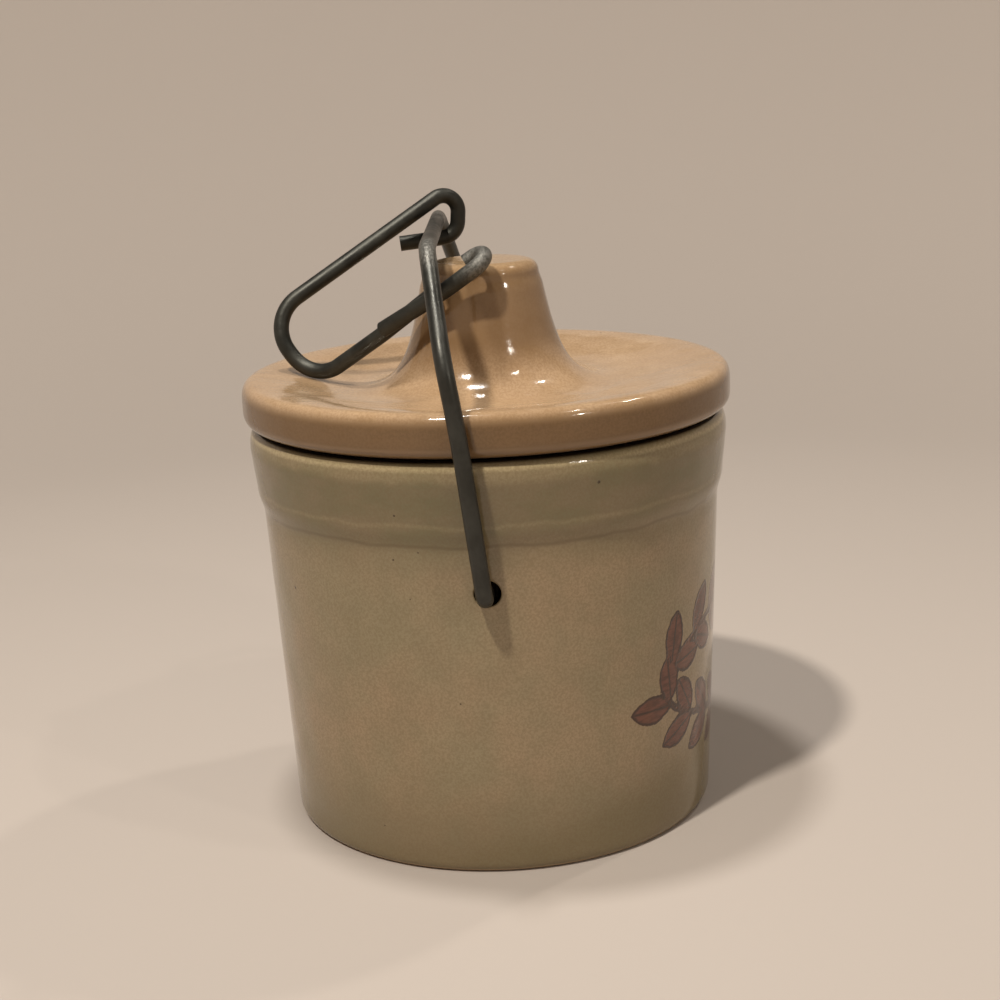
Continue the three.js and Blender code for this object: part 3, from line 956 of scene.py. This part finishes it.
def wire_bands(tree, colour):
    """Faint paler bands along the wire, from its drawing and handling."""
    along = add(tree, "ShaderNodeAttribute", attribute_name="along").outputs["Fac"]
    run = add(tree, "ShaderNodeMath", {0: along, 1: 1 / (WIRE_BAND_MM * MM)}, operation="MULTIPLY")
    bands = add(tree, "ShaderNodeTexNoise", {"W": run.outputs[0], "Scale": 1.0, "Detail": 3.0},
                noise_dimensions="1D").outputs["Fac"]
    share = add(tree, "ShaderNodeMapRange", {0: bands, 1: 0.45, 2: 0.75, 4: 0.12},
                interpolation_type="SMOOTHSTEP").outputs[0]
    return tinted(tree, colour, "#5a5a54", share)


def drawn_wire(name, dark, mid, gloss, reach_mm, rubbed):
    """Drawn steel wire, darkened with age: a dull dark grey with a soft sheen and faint bands along it,
    worn to a paler, grainy grey where the wires rub."""
    finish, tree, shader, where = new_finish(name)
    colour = clouded(tree, where, dark, mid, 7, 3.0, 0.6, (0.35, 0.65))
    colour = wire_bands(tree, colour)
    grit = patches(tree, where, 0.7, 3.0, 0.7, (0.40, 0.60))
    gritty = add(tree, "ShaderNodeMath", {0: grit, 1: 0.6, 2: 0.4}, operation="MULTIPLY_ADD").outputs[0]
    rub = rubbed_places(tree, where, rubbed, reach_mm)
    worn = add(tree, "ShaderNodeMath", {0: rub, 1: gritty}, operation="MULTIPLY").outputs[0]
    colour = tinted(tree, colour, "#84827c", worn, 0.8)
    tree.links.new(colour, shader.inputs["Base Color"])
    dull = patches(tree, where, 7, 3.0, 0.6, (0.3, 0.7), (gloss, gloss + 0.12))
    rough = add(tree, "ShaderNodeMath", {0: worn, 1: 0.15, 2: dull}, operation="MULTIPLY_ADD")
    tree.links.new(rough.outputs[0], shader.inputs["Roughness"])
    shader.inputs["Metallic"].default_value = WIRE_METALLIC
    fine = lumps(tree, where, 0.8, 3.0, 0.05)
    scratched = add(tree, "ShaderNodeMath", {0: worn, 1: grit}, operation="MULTIPLY").outputs[0]
    height = add(tree, "ShaderNodeMath", {0: scratched, 1: 0.04, 2: fine},
                 operation="MULTIPLY_ADD").outputs[0]
    bump = add(tree, "ShaderNodeBump", {"Height": height, "Strength": 1.0, "Distance": MM})
    tree.links.new(bump.outputs[0], shader.inputs["Normal"])
    return finish


# Putting the object together

def make_crock(tree):
    crock = outward(turned("stoneware_crock", crock_profile(), CROCK_COLUMNS, crock_glaze(), tree))
    for side in (-1, 1):
        cut_socket(crock, side)
    add_print(crock)
    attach(crock, "pot")
    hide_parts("crock")


def make_lid(tree):
    lid = outward(turned("stoneware_lid", lid_profile(), LID_COLUMNS, lid_glaze(), tree))
    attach(lid, "pot")
    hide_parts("lid")


def make_wires(tree):
    bar_near = (-BAR_END_X, BAR_NEAR_Y, BAR_Z)
    hook = (HOOK_OVER[0], HOOK_REST_Y, BAR_Z)
    bail_steel = drawn_wire("aged_drawn_steel_bail", "#393935", "#42423e", 0.31, 9.0, [bar_near, hook])
    clamp_steel = drawn_wire("aged_drawn_steel_clamp", "#33332f", "#3e3e39", 0.40, 8.0,
                             [FOOT_FRONT, FOOT_BACK])
    bail_piece = outward(bail(bail_steel, tree))
    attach(bail_piece, "bail")
    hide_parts("bail")
    clamp_piece = outward(clamp(clamp_steel, tree))
    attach(clamp_piece, "clamp")
    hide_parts("clamp")


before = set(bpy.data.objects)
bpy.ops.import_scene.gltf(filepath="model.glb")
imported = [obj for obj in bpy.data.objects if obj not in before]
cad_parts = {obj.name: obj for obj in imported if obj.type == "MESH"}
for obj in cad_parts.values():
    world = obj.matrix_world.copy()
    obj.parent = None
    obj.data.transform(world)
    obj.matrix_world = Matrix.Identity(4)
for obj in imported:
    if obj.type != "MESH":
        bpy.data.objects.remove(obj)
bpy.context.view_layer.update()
photo_camera()
studio()
turning = turning_tree()
sweep(turning)
make_crock(turning)
make_lid(turning)
make_wires(wire_tree())
